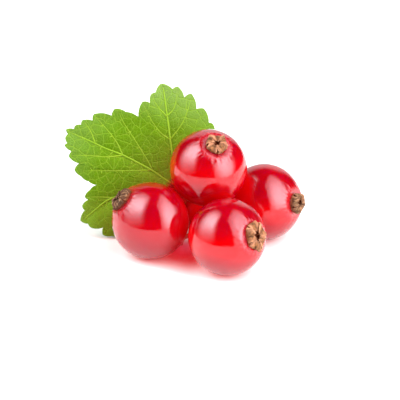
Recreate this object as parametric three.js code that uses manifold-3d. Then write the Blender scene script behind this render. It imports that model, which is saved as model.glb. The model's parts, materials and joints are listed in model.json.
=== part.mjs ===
// A small cluster of redcurrants lying on a surface: four big berries and a small one behind
// them, each with its withered flower, on a short branched stem (the strig), and one lobed
// leaf that leans behind them.
// Millimetres, +Z up, the surface at Z = 0, the front berry towards -Y.

import * as THREE from 'three';
import { mergeVertices } from 'three/addons/utils/BufferGeometryUtils.js';
import Module from 'manifold-3d';

const wasm = await Module();
wasm.setup();

// ---------------------------------------------------------------- driving dimensions

const BERRY_RADIUS = 5;
const BERRY_SINK = 0.1;          // how far a bearing berry is flattened by the surface
const LOW = BERRY_RADIUS - BERRY_SINK;
const SMALL = 0.6;               // the small berry's size beside a big one
const SMALL_LOW = SMALL * BERRY_RADIUS - BERRY_SINK;

// Each berry's size, its centre, and the way its withered flower looks: turn about Z from +X,
// and rise. The calyx is spun about the berry's axis and may be broader one way than the other.
const BERRIES = {
  front: { size: 1, at: [0, 0, LOW], turn: -42, rise: 19, spin: 20, broad: 1.25, bears: true },
  left: { size: 1, at: [-9.87, 4.84, LOW], turn: -169, rise: 41, spin: 50, broad: 1.05, bears: true },
  right: { size: 1, at: [4.85, 10.57, LOW], turn: -30, rise: 11, spin: 5, broad: 0.95, bears: true },
  top: { size: 1, at: [-2.39, 7.5, 11.17], turn: -66, rise: 60, spin: 0, broad: 1.08, bears: false },
  small: { size: SMALL, at: [-3.6, 12.7, SMALL_LOW], turn: 130, rise: 30, spin: 30, broad: 1, bears: true },
};
const BERRY_SIDES = 20;
const BERRY_ARCS = 11;           // rings of the round skin between the two ends
const SKIN_ARC = [11, 157];      // where the round skin runs, in degrees from the stem end
const STEM_END = { reach: 4.88, radius: 0.6 };
const COLLAR = { reach: 4.65, outer: 1.85, inner: 1.6, slope: 0.03 };

const CALYX_GAP = 0.12;          // clear space between a berry's scar and its calyx
const CALYX_CUP = [[0, 0], [1.25, 0], [1.5, 0.2], [1.2, 0.45], [0.7, 0.35], [0, 0.15]];
const CUP_SIDES = 10;
const SEPAL_COUNT = 5;
const SEPAL_THICK = 0.5;
const SEPAL_CURL = { inward: 0.15, down: 0.1 };      // how far a sepal's two sides curl
const SEPAL_VARIES = { share: 0.15, step: 2.4 };     // how much the sepals differ in length
// Down the middle of a sepal: distance from the axis, height above the cup's foot, half width
const SEPAL_ROWS = [[1.2, 0.2, 0.65], [1.42, 0.55, 0.9], [1.0, 0.8, 0.75], [0.5, 0.6, 0.4]];

const LEAF_BASE = [-6.12, 11.14, 6.54];   // where blade and stalk meet
const LEAF_PITCH = 65;                    // the flat blade is tipped up by this much about X
const LEAF_THICK = 0.6;
const LEAF_RINGS = [0.2, 0.42, 0.64, 0.84, 1];
const TOOTH_SWELL = 0.1;                  // bulge of a tooth's side, as a share of its length
const LEAF_CLEARANCE = 0.25;              // free space between the blade and a berry
const BEFORE_LEAF = ['front', 'left', 'right', 'top'];   // the berries that it stands behind

// The blade's edge about its base: angle from the blade's right, distance. Every second
// point is a tooth's tip or the notch beside it. It runs counter-clockwise, lobe by lobe.
const RIGHT_LOBE = [
  [10, 1.4], [16, 5.6], [22, 6.4], [26, 6.2], [32, 7.7], [37, 7.5], [43, 8.6], [47, 8.4], [52, 9],
];
const UPPER_LOBE = [
  [58, 8.7], [63, 9.5], [66, 9.4], [73, 10.9], [78, 10.6], [83, 12.5], [87, 11.9], [91, 13.3],
  [94, 13], [100, 13.9], [104, 12.9], [107, 12.8], [109, 11.8], [113, 12.3],
];
const MIDDLE_LOBE = [
  [120, 10.7], [125, 12.2], [129, 13.4], [133, 13], [139, 14.8], [142, 14.4], [145, 15.5],
  [147, 15.3], [149, 15.9], [150.5, 15.8], [152.5, 16.7], [154, 16.2], [156, 16.3], [158, 15.8],
  [159.5, 16], [161, 14.9], [164, 15], [166, 13.5], [170, 13.9], [173, 12.9], [175.5, 11.9],
];
const LOWER_LOBE = [
  [177.5, 10.8], [181, 11.7], [185, 12.4], [187, 12], [190, 12.9], [193, 12.7], [198, 13.6],
  [201, 12.8], [204, 12.6], [207, 11.2], [211, 11.7], [215, 10.8],
];
const LEFT_LOBE = [
  [219, 9.4], [225, 8.5], [229, 7.7], [236, 6.9], [241, 6.2], [249, 5.5], [257, 4.7], [266, 3.8],
  [276, 2.2], [292, 1.2], [318, 1], [344, 1.1],
];

// How the blade leaves its flat pattern: a pleat along each main vein, waves that grow towards
// the edge, an edge that rolls back, and a right and a lower part that bend away backwards
const VEIN_FOLD = { depth: 0.22, width: 1.1, start: 3 };
const WAVE = { slope: 0.02, number: 7, phase: 1 };
const EDGE_ROLL = { start: 8, rate: 0.012 };
const BEND_RIGHT = 0.05;
const BEND_LOW = 0.043;

// Veins raised on the blade's back, as points on the blade
const MAIN_VEINS = [
  [[0, 0], [-2.1, 1.3], [-3.7, 2.4], [-7.3, 4.3], [-9.6, 5.2], [-11.7, 6.2], [-14, 7.2]],
  [[0, 0], [-0.6, 2.8], [-1.1, 5.5], [-1.6, 9.3], [-2, 12.3], [-2.2, 13.2]],
  [[0, 0], [-4.2, -0.5], [-8.7, -1.2], [-11.4, -3.1], [-12.4, -4]],
  [[0, 0], [2.2, 2.2], [4, 4.4], [5.2, 6.4]],
  [[0, 0], [-1.6, -1.8], [-3.4, -3.8], [-4.4, -4.8]],
];
const SIDE_VEINS = [
  [[-3.6, 2.5], [-4.2, 3.7], [-5.8, 6.3], [-7.3, 8.6], [-7.8, 9.8]],
  [[-3.6, 2.4], [-6.6, 2.3], [-9.8, 2.3], [-12.8, 2.3]],
  [[-7.4, 4.3], [-8.1, 5.9], [-9.3, 7.5], [-10.8, 9.2]],
  [[-7.5, 4.3], [-9.4, 4.1], [-12, 4.3], [-14.2, 4.3]],
  [[-11, 5.9], [-11.5, 7.3], [-12.4, 8.7]],
  [[-1.3, 6.4], [-2.4, 7.2], [-3.5, 8.6], [-4.6, 10.8]],
  [[-1.2, 6.4], [-0.1, 7.8], [0.8, 9.4], [1.5, 11.8]],
  [[-1.6, 9.3], [-2.8, 10.6], [-3.5, 11.8]],
  [[-1.7, 9.4], [-0.7, 10.5], [-0.3, 12.6]],
  [[-8.6, -1.2], [-10.3, -1.1], [-11.9, -1.1]],
];
const MAIN_VEIN_RADII = [0.38, 0.3, 0.2];
const SIDE_VEIN_RADII = [0.24, 0.16];

// Stalks: routes through the hollow behind the berries
const PETIOLE = [
  LEAF_BASE, [-5.3, 11.6, 6.75], [-4.3, 12.7, 6.9], [-3, 14.5, 6.1], [-1.6, 16, 4.2], [-0.6, 16.8, 3.1],
];
const PETIOLE_RADII = [0.35, 0.5, 0.5, 0.5, 0.5, 0.6];
const PETIOLE_FOOT = [[-0.48, 16.93, 3.02], [0.3, 17.8, 2.3], [0.9, 18.7, 1.1]];
const PETIOLE_FOOT_RADII = [0.6, 0.7, 0.75];
const AXIS = [
  [-3.9, 7.2, 2.3], [-2.6, 8.9, 1.4], [-0.9, 10.8, 0.9], [0.2, 13.2, 0.8], [0.5, 15.8, 0.85], [0.5, 18, 0.95],
];
const AXIS_RADII = [0.35, 0.42, 0.48, 0.54, 0.62, 0.85];
const HEEL = [[0.2, 17.6, 1.05], [0.8, 18.5, 0.85], [1.3, 19.3, 0.8], [1.6, 19.9, 0.8]];
const HEEL_RADII = [0.75, 0.95, 0.9, 0.8];
const PEDICELS = {
  front: [[-4.55, 4.17, 2.97], [-4.5, 5.7, 2.6], [-3.95, 7.2, 2.3]],
  left: [[-5.95, 6.05, 1.15], [-5.95, 7.2, 0.75], [-5.6, 8.4, 0.75], [-4.6, 9, 0.9], [-2.8, 9, 1.3]],
  right: [[-0.2, 13.7, 3.4], [-0.3, 14.6, 2.2], [0.35, 15.6, 1]],
  top: [
    [-3.5, 10.2, 6.2], [-2.7, 11.5, 6.2], [-1.6, 13.2, 5.8], [-0.6, 14.9, 3.8], [0.2, 16.2, 1.8],
    [0.45, 16.9, 1.1],
  ],
  small: [[-1.55, 10.4, 1.15], [-1.15, 10.55, 0.95], [-0.75, 11, 0.88]],
};
const PEDICEL_RADII = [0.42, 0.34, 0.33, 0.33, 0.42];
const PEDICEL_GAP = 0.2;                  // between a pedicel's end and its berry
const BRACT = { length: 1.3, width: 0.9, thick: 0.35, sides: 6, shift: 1 / 3 };
const STALK_SIDES = 8;
const VEIN_SIDES = 5;
const STEPS = { petiole: 12, axis: 14, heel: 4, petioleFoot: 3, pedicel: 8 };   // along each stalk

const UP = new THREE.Vector3(0, 1, 0);    // a lathe's axis
const FLOOR_BLOCK = { side: 80, depth: 20 };

// ---------------------------------------------------------------- solids and meshes

function solidOf(geometry) {
  // a closed triangle mesh as a solid that can be joined and cut
  const bare = geometry.clone();
  bare.deleteAttribute('normal');
  bare.deleteAttribute('uv');
  const merged = mergeVertices(bare, 1e-4);
  const index = merged.index.array;
  const triangles = [];
  for (let i = 0; i < index.length; i += 3) {
    const [a, b, c] = [index[i], index[i + 1], index[i + 2]];
    if (a !== b && b !== c && c !== a) triangles.push(a, b, c);
  }
  const vertProperties = new Float32Array(merged.attributes.position.array);
  const triVerts = new Uint32Array(triangles);
  return new wasm.Manifold(new wasm.Mesh({ numProp: 3, vertProperties, triVerts }));
}

function joined(geometries) {
  // one body: what fusing seals inside is filled, and a loose scrap is dropped
  const solids = geometries.map(solidOf);
  const bodies = solids.reduce((whole, next) => whole.add(next)).decompose();
  return bodies.reduce((largest, body) => (body.volume() > largest.volume() ? body : largest));
}

function meshOf(name, solid, material) {
  const { vertProperties, triVerts } = solid.getMesh();
  const geometry = new THREE.BufferGeometry();
  geometry.setAttribute('position', new THREE.BufferAttribute(vertProperties, 3));
  geometry.setIndex(new THREE.BufferAttribute(triVerts, 1));
  geometry.computeVertexNormals();
  const mesh = new THREE.Mesh(geometry, material);
  mesh.name = name;
  return mesh;
}

function geometryOf(points, triangles) {
  const geometry = new THREE.BufferGeometry();
  geometry.setFromPoints(points);
  geometry.setIndex(triangles);
  return geometry;
}

function aboveSurface(solid) {
  // what stands above Z = 0, with a flat spot where the surface cuts it
  const { side, depth } = FLOOR_BLOCK;
  const block = new THREE.BoxGeometry(side, side, depth).translate(0, 0, -depth / 2);
  return solid.subtract(solidOf(block));
}

// ---------------------------------------------------------------- shared shapes

function vector(point) {
  return new THREE.Vector3(...point);
}

function heading(turn, rise) {
  const t = THREE.MathUtils.degToRad(turn);
  const r = THREE.MathUtils.degToRad(rise);
  return new THREE.Vector3(Math.cos(r) * Math.cos(t), Math.cos(r) * Math.sin(t), Math.sin(r));
}

function valueAlong(values, share) {
  const place = share * (values.length - 1);
  const first = Math.min(Math.floor(place), values.length - 2);
  return THREE.MathUtils.lerp(values[first], values[first + 1], place - first);
}

function taperedTube(points, radii, sides, steps) {
  // a round stalk along a smooth curve through the points, closed at both ends
  const curve = new THREE.CatmullRomCurve3(points, false, 'centripetal');
  const frames = curve.computeFrenetFrames(steps);
  const vertices = [];
  for (let i = 0; i <= steps; i++) {
    const centre = curve.getPointAt(i / steps);
    const radius = valueAlong(radii, i / steps);
    for (let j = 0; j < sides; j++) {
      const angle = (2 * Math.PI * j) / sides;
      const out = frames.normals[i].clone().multiplyScalar(radius * Math.cos(angle));
      out.addScaledVector(frames.binormals[i], radius * Math.sin(angle));
      vertices.push(centre.clone().add(out));
    }
  }
  const triangles = [];
  for (let i = 0; i < steps; i++) {
    for (let j = 0; j < sides; j++) {
      const a = i * sides + j;
      const b = i * sides + ((j + 1) % sides);
      triangles.push(a, b, a + sides, b, b + sides, a + sides);
    }
  }
  const last = steps * sides;
  for (let j = 1; j < sides - 1; j++) {
    triangles.push(0, j + 1, j);
    triangles.push(last, last + j, last + j + 1);
  }
  return geometryOf(vertices, triangles);
}

function closedSheet(front, back, rows, columns) {
  // two like grids of points, the outer one and the inner one, sewn together round the edge
  const offset = front.length;
  const triangles = [];
  const quad = (a, b, c, d) => triangles.push(a, b, c, a, c, d);
  for (let i = 0; i < rows - 1; i++) {
    for (let j = 0; j < columns - 1; j++) {
      const a = i * columns + j;
      quad(a, a + 1, a + columns + 1, a + columns);
      quad(offset + a, offset + a + columns, offset + a + columns + 1, offset + a + 1);
    }
  }
  for (let j = 0; j < columns - 1; j++) {
    const top = (rows - 1) * columns + j;
    quad(j + 1, j, offset + j, offset + j + 1);
    quad(top, top + 1, offset + top + 1, offset + top);
  }
  for (let i = 0; i < rows - 1; i++) {
    const left = i * columns;
    const right = left + columns - 1;
    quad(left, left + columns, offset + left + columns, offset + left);
    quad(right + columns, right, offset + right, offset + right + columns);
  }
  return geometryOf([...front, ...back], triangles);
}

// ---------------------------------------------------------------- berries

function berryProfile() {
  // from the stem end, round the skin, to the collar and scar under the calyx
  const [first, last] = SKIN_ARC.map(THREE.MathUtils.degToRad);
  const profile = [new THREE.Vector2(0, -STEM_END.reach)];
  profile.push(new THREE.Vector2(STEM_END.radius, -STEM_END.reach));
  for (let i = 0; i < BERRY_ARCS; i++) {
    const angle = THREE.MathUtils.lerp(first, last, i / (BERRY_ARCS - 1));
    profile.push(new THREE.Vector2(BERRY_RADIUS * Math.sin(angle), -BERRY_RADIUS * Math.cos(angle)));
  }
  profile.push(new THREE.Vector2(COLLAR.outer, COLLAR.reach - COLLAR.slope));
  profile.push(new THREE.Vector2(COLLAR.inner, COLLAR.reach));
  profile.push(new THREE.Vector2(0, COLLAR.reach));
  return profile;
}

function onBerry(geometry, berry) {
  // from a big berry's frame, whose +Y is the way the flower looks, to the berry's size and place
  const turned = new THREE.Quaternion().setFromUnitVectors(UP, heading(berry.turn, berry.rise));
  const spun = new THREE.Quaternion().setFromAxisAngle(UP, THREE.MathUtils.degToRad(berry.spin));
  geometry.scale(berry.size, berry.size, berry.size);
  geometry.applyQuaternion(turned.multiply(spun));
  return geometry.translate(...berry.at);
}

function berrySolid(berry) {
  const solid = solidOf(onBerry(new THREE.LatheGeometry(berryProfile(), BERRY_SIDES), berry));
  return berry.bears ? aboveSurface(solid) : solid;
}

// ---------------------------------------------------------------- calyxes

function sepalSheet(angle, lengthen) {
  // one broad sepal, folded in over the mouth of the cup
  const across = [-1, 0, 1];
  const outward = new THREE.Vector3(Math.cos(angle), 0, Math.sin(angle));
  const sideways = new THREE.Vector3(Math.sin(angle), 0, -Math.cos(angle));
  const foot = COLLAR.reach + CALYX_GAP;
  const front = [];
  const back = [];
  SEPAL_ROWS.forEach(([radius, height, halfWidth], i) => {
    const before = SEPAL_ROWS[Math.max(i - 1, 0)];
    const after = SEPAL_ROWS[Math.min(i + 1, SEPAL_ROWS.length - 1)];
    const along = new THREE.Vector2(after[0] - before[0], after[1] - before[1]).normalize();
    const normal = outward.clone().multiplyScalar(along.y).addScaledVector(UP, -along.x);
    for (const share of across) {
      const side = share * share;
      const point = outward.clone().multiplyScalar(radius - SEPAL_CURL.inward * side);
      point.addScaledVector(UP, foot + height * lengthen - SEPAL_CURL.down * side);
      point.addScaledVector(sideways, halfWidth * share);
      front.push(point.clone().addScaledVector(normal, SEPAL_THICK / 2));
      back.push(point.clone().addScaledVector(normal, -SEPAL_THICK / 2));
    }
  });
  return closedSheet(front, back, SEPAL_ROWS.length, across.length);
}

function calyxSolid(berry) {
  const foot = COLLAR.reach + CALYX_GAP;
  const cup = CALYX_CUP.map(([radius, height]) => new THREE.Vector2(radius, foot + height));
  const pieces = [new THREE.LatheGeometry(cup, CUP_SIDES)];
  for (let i = 0; i < SEPAL_COUNT; i++) {
    const angle = (2 * Math.PI * i) / SEPAL_COUNT;
    const lengthen = 1 + SEPAL_VARIES.share * Math.sin(SEPAL_VARIES.step * i + berry.spin);
    pieces.push(sepalSheet(angle, lengthen));
  }
  for (const piece of pieces) {
    piece.scale(1, 1, berry.broad);
    onBerry(piece, berry);
  }
  return joined(pieces);
}

// ---------------------------------------------------------------- leaf

function leafEdge() {
  // the points of the edge on the flat blade, with a swelling point between each two
  const corners = [...RIGHT_LOBE, ...UPPER_LOBE, ...MIDDLE_LOBE, ...LOWER_LOBE, ...LEFT_LOBE];
  const points = corners.map(([angle, distance]) => {
    const a = THREE.MathUtils.degToRad(angle);
    return new THREE.Vector2(distance * Math.cos(a), distance * Math.sin(a));
  });
  const edge = [];
  points.forEach((point, i) => {
    const next = points[(i + 1) % points.length];
    const side = next.clone().sub(point);
    const swell = new THREE.Vector2(side.y, -side.x).multiplyScalar(TOOTH_SWELL);
    edge.push(point, point.clone().addScaledVector(side, 0.5).add(swell));
  });
  return edge;
}

function toLeafFrame(point) {
  // a point of the object as seen from the flat blade
  const local = vector(point).sub(vector(LEAF_BASE));
  return local.applyAxisAngle(new THREE.Vector3(1, 0, 0), -THREE.MathUtils.degToRad(LEAF_PITCH));
}

function distanceToVein(x, y, vein) {
  const spot = new THREE.Vector3(x, y, 0);
  const nearest = new THREE.Vector3();
  let distance = Infinity;
  for (let i = 0; i < vein.length - 1; i++) {
    const line = new THREE.Line3(new THREE.Vector3(...vein[i], 0), new THREE.Vector3(...vein[i + 1], 0));
    line.closestPointToPoint(spot, true, nearest);
    distance = Math.min(distance, nearest.distanceTo(spot));
  }
  return distance;
}

function leafHeight(x, y) {
  // how far the blade's middle surface stands from its flat pattern
  const radius = Math.hypot(x, y);
  const angle = Math.atan2(y, x);
  const nearest = Math.min(...MAIN_VEINS.map((vein) => distanceToVein(x, y, vein)));
  const pleat = Math.exp(-((nearest / VEIN_FOLD.width) ** 2)) * Math.min(radius / VEIN_FOLD.start, 1);
  let height = WAVE.slope * radius * Math.sin(WAVE.number * angle + WAVE.phase);
  height -= VEIN_FOLD.depth * pleat;
  height -= EDGE_ROLL.rate * Math.max(radius - EDGE_ROLL.start, 0) ** 2;
  height -= BEND_RIGHT * Math.max(x, 0) ** 2;
  height -= BEND_LOW * Math.min(y, 0) ** 2;
  const clear = BERRY_RADIUS + LEAF_THICK / 2 + LEAF_CLEARANCE;
  for (const name of BEFORE_LEAF) {
    const centre = toLeafFrame(BERRIES[name].at);
    const apart = Math.hypot(x - centre.x, y - centre.y);
    if (apart < clear) height = Math.min(height, centre.z - Math.sqrt(clear ** 2 - apart ** 2));
  }
  return height;
}

function bladeSheet() {
  // a fan of rings about the base, split into triangles alike on both faces
  const edge = leafEdge();
  const count = edge.length;
  const faces = [LEAF_THICK / 2, -LEAF_THICK / 2].map((lift) => {
    const points = [new THREE.Vector3(0, 0, leafHeight(0, 0) + lift)];
    for (const share of LEAF_RINGS) {
      for (const { x, y } of edge) {
        points.push(new THREE.Vector3(x * share, y * share, leafHeight(x * share, y * share) + lift));
      }
    }
    return points;
  });
  const under = faces[0].length;
  const triangles = [];
  const both = (a, b, c) => triangles.push(a, b, c, under + a, under + c, under + b);
  for (let j = 0; j < count; j++) {
    const k = (j + 1) % count;
    both(0, 1 + j, 1 + k);
    for (let ring = 1; ring < LEAF_RINGS.length; ring++) {
      const inner = 1 + (ring - 1) * count;
      const outer = inner + count;
      both(inner + j, outer + j, outer + k);
      both(inner + j, outer + k, inner + k);
    }
    const rim = 1 + (LEAF_RINGS.length - 1) * count;
    triangles.push(rim + j, under + rim + j, under + rim + k, rim + j, under + rim + k, rim + k);
  }
  return geometryOf([...faces[0], ...faces[1]], triangles);
}

function veinTube(vein, radii) {
  // a rib along the blade's back, sunk in it by half
  const points = vein.map(([x, y]) => new THREE.Vector3(x, y, leafHeight(x, y) - LEAF_THICK / 2));
  return taperedTube(points, radii, VEIN_SIDES, vein.length + 1);
}

function leafSolid() {
  const flat = [bladeSheet()];
  for (const vein of MAIN_VEINS) flat.push(veinTube(vein, MAIN_VEIN_RADII));
  for (const vein of SIDE_VEINS) flat.push(veinTube(vein, SIDE_VEIN_RADII));
  for (const piece of flat) {
    piece.rotateX(THREE.MathUtils.degToRad(LEAF_PITCH));
    piece.translate(...LEAF_BASE);
  }
  const petiole = taperedTube(PETIOLE.map(vector), PETIOLE_RADII, STALK_SIDES, STEPS.petiole);
  return joined([...flat, petiole]);
}

// ---------------------------------------------------------------- strig

function pedicel(name) {
  // from just clear of the berry's stem end, down to the axis
  const berry = BERRIES[name];
  const away = heading(berry.turn, berry.rise).negate();
  const start = vector(berry.at).addScaledVector(away, berry.size * STEM_END.reach + PEDICEL_GAP);
  return taperedTube([start, ...PEDICELS[name].map(vector)], PEDICEL_RADII, STALK_SIDES, STEPS.pedicel);
}

function bract(point, towards) {
  // the small scale at a pedicel's foot
  const blade = new THREE.ConeGeometry(BRACT.width / 2, BRACT.length, BRACT.sides);
  blade.scale(1, 1, BRACT.thick / BRACT.width);
  blade.translate(0, BRACT.length * BRACT.shift, 0);
  blade.applyQuaternion(new THREE.Quaternion().setFromUnitVectors(UP, towards));
  return blade.translate(...point);
}

function strigSolid() {
  const pieces = [
    taperedTube(AXIS.map(vector), AXIS_RADII, STALK_SIDES, STEPS.axis),
    taperedTube(HEEL.map(vector), HEEL_RADII, STALK_SIDES, STEPS.heel),
    taperedTube(PETIOLE_FOOT.map(vector), PETIOLE_FOOT_RADII, STALK_SIDES, STEPS.petioleFoot),
  ];
  for (const name of Object.keys(PEDICELS)) {
    const route = PEDICELS[name].map(vector);
    const [beside, foot] = route.slice(-2);
    pieces.push(pedicel(name));
    pieces.push(bract(foot.toArray(), beside.clone().sub(foot).normalize()));
  }
  return aboveSurface(joined(pieces));
}

// ---------------------------------------------------------------- assembly

const berrySkin = new THREE.MeshStandardMaterial({ color: 0xc80a12, roughness: 0.12, metalness: 0 });
const witheredCalyx = new THREE.MeshStandardMaterial({ color: 0xc98f5e, roughness: 0.8, metalness: 0 });
const greenStalk = new THREE.MeshStandardMaterial({ color: 0xa3ad4a, roughness: 0.55, metalness: 0 });
const leafBlade = new THREE.MeshStandardMaterial({ color: 0x7da32c, roughness: 0.5, metalness: 0 });

const sprig = new THREE.Group();
for (const [name, berry] of Object.entries(BERRIES)) {
  sprig.add(meshOf(`berry_${name}`, berrySolid(berry), berrySkin.clone()));
  sprig.add(meshOf(`calyx_${name}`, calyxSolid(berry), witheredCalyx.clone()));
}
sprig.add(meshOf('strig', strigSolid(), greenStalk));
sprig.add(meshOf('leaf', leafSolid(), leafBlade));

// the origin is the middle of the footprint, on the surface
const extent = new THREE.Box3().setFromObject(sprig);
const middle = extent.getCenter(new THREE.Vector3());
sprig.position.set(-middle.x, -middle.y, -extent.min.z);

const group = new THREE.Group();
group.add(sprig);

export default group;
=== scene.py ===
"""A redcurrant sprig: glossy berries with withered calyxes, the strig that carries them and a leaf."""

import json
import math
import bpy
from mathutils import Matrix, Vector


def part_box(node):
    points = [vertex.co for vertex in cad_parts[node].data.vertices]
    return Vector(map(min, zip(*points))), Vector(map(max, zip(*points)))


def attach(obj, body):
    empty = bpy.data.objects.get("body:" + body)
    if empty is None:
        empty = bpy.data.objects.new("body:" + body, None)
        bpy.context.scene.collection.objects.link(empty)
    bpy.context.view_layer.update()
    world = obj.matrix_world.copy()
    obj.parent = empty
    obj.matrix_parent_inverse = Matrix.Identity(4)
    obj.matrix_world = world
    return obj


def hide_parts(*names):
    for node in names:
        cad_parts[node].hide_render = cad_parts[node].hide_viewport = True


bl_info = {
    "name": "Redcurrant Sprig",
    "version": (1, 0, 0),
    "blender": (4, 5, 0),
    "location": "3D View > Sidebar > Redcurrant",
    "description": "Dresses the sprig's solids with fine berries, calyxes, leaf and strig",
    "category": "Add Mesh",
}

import bmesh
import bpy
import numpy as np
from bpy.props import FloatProperty, FloatVectorProperty, IntProperty, PointerProperty
from mathutils import Matrix, Vector, noise

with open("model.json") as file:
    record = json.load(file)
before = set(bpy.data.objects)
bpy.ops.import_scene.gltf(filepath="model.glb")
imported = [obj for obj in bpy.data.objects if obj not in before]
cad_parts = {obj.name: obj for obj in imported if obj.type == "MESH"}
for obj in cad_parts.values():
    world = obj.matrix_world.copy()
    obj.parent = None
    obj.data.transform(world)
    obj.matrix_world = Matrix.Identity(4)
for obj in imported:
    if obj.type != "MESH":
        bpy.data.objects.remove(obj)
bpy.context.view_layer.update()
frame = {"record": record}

MM = 0.001

# ---------------------------------------------------------------- places and forms, in millimetres

MOUNTS = {mount["name"]: Vector(mount["pos_m"]) / MM for mount in frame["record"]["mounts"]}
FRONT_FOOT = MOUNTS["rest_front"]  # every place on the sprig is given from under the front berry
BERRY_RADIUS = 5.0
BERRY_SINK = 0.1
LOW = Vector((0, 0, BERRY_RADIUS - BERRY_SINK))


def box_middle(node):
    low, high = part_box(node)
    return (low + high) / 2 / MM


# Each berry's size and centre, the way its flower looks (turn about Z from +X, and rise), the
# spin of its sepals, how broad and long its calyx is in shares of a full one, how aged, how far
# its +X side is skewed forward and up, and how strong the glow painted into its flesh is.
BERRY_FIELDS = ("size", "at", "turn", "rise", "spin", "calyx", "age", "skew", "glow")
BERRIES = {
    "front": (1, MOUNTS["rest_front"] + LOW, -42, 19, 20, (0.88, 1.18), 0, 0, 1.1),
    "left": (1, MOUNTS["rest_left"] + LOW, -172, 41, 50, (0.78, 1.02), 0.9, 0.16, 0.5),
    "right": (1, MOUNTS["rest_right"] + LOW, -30, 11, 5, (0.82, 0.84), 0.65, 0, 0.9),
    "top": (1, box_middle("berry_top"), -66, 60, 0, (0.86, 0.88), 0, 0, 0.85),
    "small": (0.6, box_middle("berry_small"), 130, 30, 30, (0.9, 0.9), 0.5, 0, 1),
}
BERRIES = {name: dict(zip(BERRY_FIELDS, values)) for name, values in BERRIES.items()}
SKEW_WAY = Vector((0, -0.906, 0.423))  # forward and up by 25 degrees
BEFORE_LEAF = ("front", "left", "right", "top")  # the berries that the blade stands behind
SCAR_REACH = 4.65  # from a berry's centre to the scar under its calyx
STEM_REACH = 4.88  # and to the scar of its stem
LIT_BAND = {"level": 0.15, "below": 0.45, "above": 0.3}  # where the brighter red glow is painted in the flesh, in radii
# Shares of its outlook that neighbours fill where a berry's skin turns dull, and how much painted glow it
# gets there
NOOK = {"from": 0.38, "to": 0.65, "lit": 0.95}
COLLAR_ANGLE = 23  # from the berry's axis to the raised collar round the calyx, in degrees
COLLAR_WIDTH = 6  # how far the collar spreads, in degrees
STEM_WIDTH = 10  # of the shallow dip round the stem's scar, in degrees
# Fine creases in the skin round the collar: how many, how deep, how rough, and where, in degrees
PUCKERS = {"number": 26, "depth": 0.02, "rough": 0.04, "beyond": 3, "width": 7}
UNEVEN = 0.035  # how far the round skin strays
STRANDS = {"number": 6.0, "bend": 0.9, "fineness": 40.0, "strength": 0.1}  # under the skin
COLLAR_ZONE = {"from": 0.86, "to": 0.97, "ragged": 0.25, "pale": 0.75}  # in radii from the centre
# The skin's polish in the open, and what a closed nook adds to it
POLISH = {"Roughness": (0.09, 0.45), "Specular IOR Level": (0.5, -0.45), "Coat Weight": (0.4, -0.4)}

SEPALS = 5
# Down the middle of a sepal: distance from the axis, height above the scar, half width
SEPAL_ROWS = [
    (1.15, 0.0, 0.55), (1.5, 0.3, 0.78), (1.56, 0.66, 0.84), (1.36, 0.98, 0.78), (0.9, 1.1, 0.56),
    (0.45, 0.86, 0.22),
]
# How high each sepal folds, in shares of a full one
SEPAL_LIFTS = (1.14, 0.84, 1.06, 0.8, 0.96)
SEPAL_RIM = 0.22  # how high the rims stand
SEPAL_CRUMPLE = 0.13
STRAND_STRETCH = 0.35  # how fast the dry strands change along a sepal, beside across it
CUP_PROFILE = [(0, 0.05), (0.5, 0.05), (0.85, 0.15), (1.15, 0.4), (1.35, 0.45), (1.5, 0.25), (1.45, -0.1)]
CUP_SIDES = 40
CUP_CRUMPLE = 0.08
STAMENS = 4
STAMEN_LENGTH = 0.85
STAMEN_RADII = (0.06, 0.045, 0.07)

LEAF_BASE = (-6.12, 11.14, 6.54)
LEAF_PITCH = 65
LEAF_CLEARANCE = 0.25
CAD_LEAF_THICK = 0.6
TOOTH_SWELL = 0.1
RIGHT_LOBE = [
    (10, 1.4), (16, 5.6), (22, 6.4), (26, 6.2), (32, 7.7), (37, 7.5), (43, 8.6), (47, 8.4), (52, 9),
]
UPPER_LOBE = [
    (58, 8.7), (63, 9.5), (66, 9.4), (73, 10.9), (78, 10.6), (83, 12.5), (87, 11.9), (91, 13.3),
    (94, 13), (100, 13.9), (104, 12.9), (107, 12.8), (109, 11.8), (113, 12.3),
]
MIDDLE_LOBE = [
    (120, 10.7), (125, 12.2), (129, 13.4), (133, 13), (139, 14.8), (142, 14.4), (145, 15.5),
    (147, 15.3), (149, 15.9), (150.5, 15.8), (152.5, 16.7), (154, 16.2), (156, 16.3), (158, 15.8),
    (159.5, 16), (161, 14.9), (164, 15), (166, 13.5), (170, 13.9), (173, 12.9), (175.5, 11.9),
]
LOWER_LOBE = [
    (177.5, 10.8), (181, 11.7), (185, 12.4), (187, 12), (190, 12.9), (193, 12.7), (198, 13.6),
    (201, 12.8), (204, 12.6), (207, 11.2), (211, 11.7), (215, 10.8),
]
LEFT_LOBE = [
    (219, 9.4), (225, 8.5), (229, 7.7), (236, 6.9), (241, 6.2), (249, 5.5), (257, 4.7), (266, 3.8),
    (276, 2.6), (292, 2.1), (318, 1.5), (344, 1.2),
]
# painted red light from the berries on the blade's foot: its middle, reach and soft edge
PAINTED_RED_LIGHT_ON_LEAF = {"middle": (-5.9, 11.2, 6.2), "reach": 2.3, "edge": 0.7}
VEIN_FOLD = {"depth": 0.22, "width": 1.1, "start": 3}
WAVE = {"slope": 0.02, "number": 7, "phase": 1}
EDGE_ROLL = {"start": 8, "rate": 0.012}
BEND_RIGHT = 0.05
BEND_LOW = 0.043
MAIN_VEINS = [
    [(0, 0), (-2.1, 1.3), (-3.7, 2.4), (-7.3, 4.3), (-9.6, 5.2), (-11.7, 6.2), (-14, 7.2)],
    [(0, 0), (-0.6, 2.8), (-1.1, 5.5), (-1.6, 9.3), (-2, 12.3), (-2.2, 13.2)],
    [(0, 0), (-4.2, -0.5), (-8.7, -1.2), (-11.4, -3.1), (-12.4, -4)],
    [(0, 0), (2.2, 2.2), (4, 4.4), (5.2, 6.4)],
    [(0, 0), (-1.6, -1.8), (-3.4, -3.8), (-4.4, -4.8)],
]
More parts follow.
